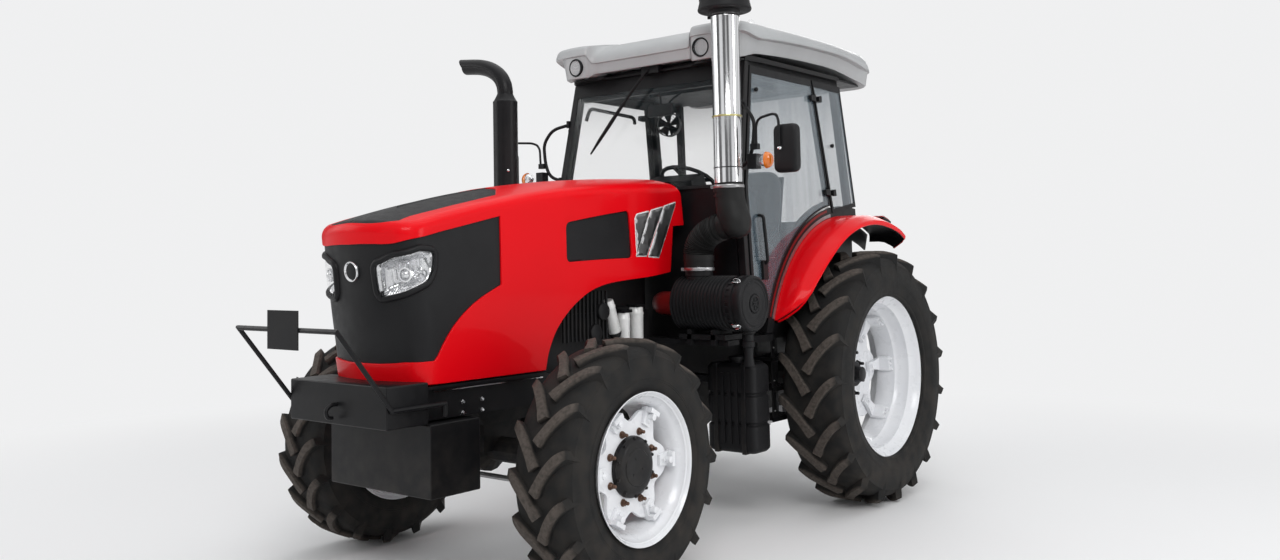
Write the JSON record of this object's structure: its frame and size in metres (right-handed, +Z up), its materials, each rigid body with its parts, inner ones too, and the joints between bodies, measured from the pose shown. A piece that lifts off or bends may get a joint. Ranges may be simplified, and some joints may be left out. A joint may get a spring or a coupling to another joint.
{
  "type": "farm tractor",
  "caption": "Four-wheel-drive farm tractor with an enclosed cab, tilting hood, lugged tyres, front guard and ballast, and a rear three-point linkage.",
  "frame": {"origin": "on the ground, under the middle of the length and width", "axes": "+Z up, +Y towards the rear, so the nose faces -Y; +X towards the tractor's left"},
  "size_m": [2.432, 5.004, 3.33],
  "materials": {
    "red_paint": "gloss",
    "black_paint": "satin",
    "cast_black": "satin",
    "black_plastic": "matte",
    "grey_plastic": "satin",
    "white_paint": "gloss",
    "tyre_rubber": "matte",
    "hose_rubber": "matte",
    "bright_steel": "polished",
    "bare_steel": "satin",
    "window_glass": "clear",
    "lamp_lens": "clear",
    "amber_lens": "gloss",
    "seat_cloth": "woven",
    "filter_white": "gloss"
  },
  "bodies": {
    "chassis": {"frame_rails": "black_paint", "front_bolster": "cast_black", "front_axle_beam": "cast_black", "engine_block": "cast_black", "radiator": "black_paint", "transmission": "cast_black", "front_plate": "black_paint", "weight_box": "black_paint", "guard_bar": "black_paint", "hood_support": "black_paint", "cab_floor": "black_paint", "cab_walls": "black_paint", "cab_pillars": "black_paint", "cab_top_frame": "black_paint", "door_sills": "black_paint", "cab_glass": "window_glass", "roof": "grey_plastic", "dashboard": "black_plastic", "seat": "seat_cloth", "fenders": "red_paint", "air_cleaners": "black_plastic", "intake_elbow": "hose_rubber", "intake_pipe": "bright_steel", "exhaust_stack": "black_paint", "fuel_tank": "black_plastic", "battery_box": "black_plastic", "fuel_filters": "filter_white", "side_steps": "black_paint", "mirrors": "black_plastic", "signal_lamps": "amber_lens", "work_lamps": "lamp_lens", "rear_brackets": "bare_steel", "top_link": "bare_steel", "pto_shaft": "bare_steel"},
    "hood": {"hood_shell": "red_paint", "grille_panels": "black_plastic", "headlamps": "lamp_lens"},
    "door_left": {"door_left": "black_paint", "door_left_glass": "window_glass"},
    "door_right": {"door_right": "black_paint", "door_right_glass": "window_glass"},
    "knuckle_left": {"knuckle_left": "cast_black"},
    "knuckle_right": {"knuckle_right": "cast_black"},
    "tie_rod": {"tie_rod": "bare_steel"},
    "front_wheel_left": {"front_tyre_left": "tyre_rubber", "front_rim_left": "white_paint"},
    "front_wheel_right": {"front_tyre_right": "tyre_rubber", "front_rim_right": "white_paint"},
    "rear_wheel_left": {"rear_tyre_left": "tyre_rubber", "rear_rim_left": "white_paint"},
    "rear_wheel_right": {"rear_tyre_right": "tyre_rubber", "rear_rim_right": "white_paint"},
    "steering_wheel": {"steering_wheel": "black_plastic"},
    "lift_arms": {"lift_arms": "cast_black"},
    "lift_rods": {"lift_rods": "bare_steel"},
    "lower_links": {"lower_links": "bare_steel"}
  },
  "joints": [
    {"name": "hood_lift", "type": "hinge", "parent": "chassis", "child": "hood", "pos_m": [0, 0.12304, 2.088], "axis": [-1, 0, 0], "range_deg": [0, 45]},
    {"name": "door_left_swing", "type": "hinge", "parent": "chassis", "child": "door_left", "pos_m": [0.76577, 1.34829, 2.07], "axis": [-0.0507, -0.168, 0.9845], "range_deg": [0, 75]},
    {"name": "door_right_swing", "type": "hinge", "parent": "chassis", "child": "door_right", "pos_m": [-0.76577, 1.34829, 2.07], "axis": [-0.0507, 0.168, -0.9845], "range_deg": [0, 75]},
    {"name": "steer_left", "type": "hinge", "parent": "chassis", "child": "knuckle_left", "pos_m": [0.64, -1.19696, 0.625], "axis": [0, 0, 1], "range_deg": [-30, 30]},
    {"name": "steer_right", "type": "hinge", "parent": "chassis", "child": "knuckle_right", "pos_m": [-0.64, -1.19696, 0.625], "axis": [0, 0, 1], "range_deg": [-30, 30]},
    {"name": "tie_rod_turn", "type": "hinge", "parent": "knuckle_left", "child": "tie_rod", "pos_m": [0.64, -1.37696, 0.545], "axis": [0, 0, 1], "range_deg": [-30, 30]},
    {"name": "front_left_spin", "type": "hinge", "parent": "knuckle_left", "child": "front_wheel_left", "pos_m": [0.918, -1.19696, 0.625], "axis": [1, 0, 0], "continuous": true},
    {"name": "front_right_spin", "type": "hinge", "parent": "knuckle_right", "child": "front_wheel_right", "pos_m": [-0.918, -1.19696, 0.625], "axis": [1, 0, 0], "continuous": true},
    {"name": "rear_left_spin", "type": "hinge", "parent": "chassis", "child": "rear_wheel_left", "pos_m": [0.958, 1.42304, 0.835], "axis": [1, 0, 0], "continuous": true},
    {"name": "rear_right_spin", "type": "hinge", "parent": "chassis", "child": "rear_wheel_right", "pos_m": [-0.958, 1.42304, 0.835], "axis": [1, 0, 0], "continuous": true},
    {"name": "steering_wheel_turn", "type": "hinge", "parent": "chassis", "child": "steering_wheel", "pos_m": [0, 0.75004, 2.175], "axis": [0, 0.4695, 0.8829], "continuous": true},
    {"name": "hitch_lift", "type": "hinge", "parent": "chassis", "child": "lift_arms", "pos_m": [0, 1.72304, 1.03], "axis": [1, 0, 0], "range_deg": [-15, 35]},
    {"name": "link_lift", "type": "hinge", "parent": "chassis", "child": "lower_links", "pos_m": [0, 1.60304, 0.52], "axis": [1, 0, 0], "range_deg": [-15, 35]},
    {"name": "rod_turn", "type": "hinge", "parent": "lift_arms", "child": "lift_rods", "pos_m": [0, 2.15304, 1], "axis": [1, 0, 0], "range_deg": [-35, 15]}
  ],
  "couplings": [
    {"joint": "steer_right", "follows": "steer_left", "ratio": 1},
    {"joint": "tie_rod_turn", "follows": "steer_left", "ratio": -1},
    {"joint": "link_lift", "follows": "hitch_lift", "ratio": 1},
    {"joint": "rod_turn", "follows": "hitch_lift", "ratio": -1}
  ]
}
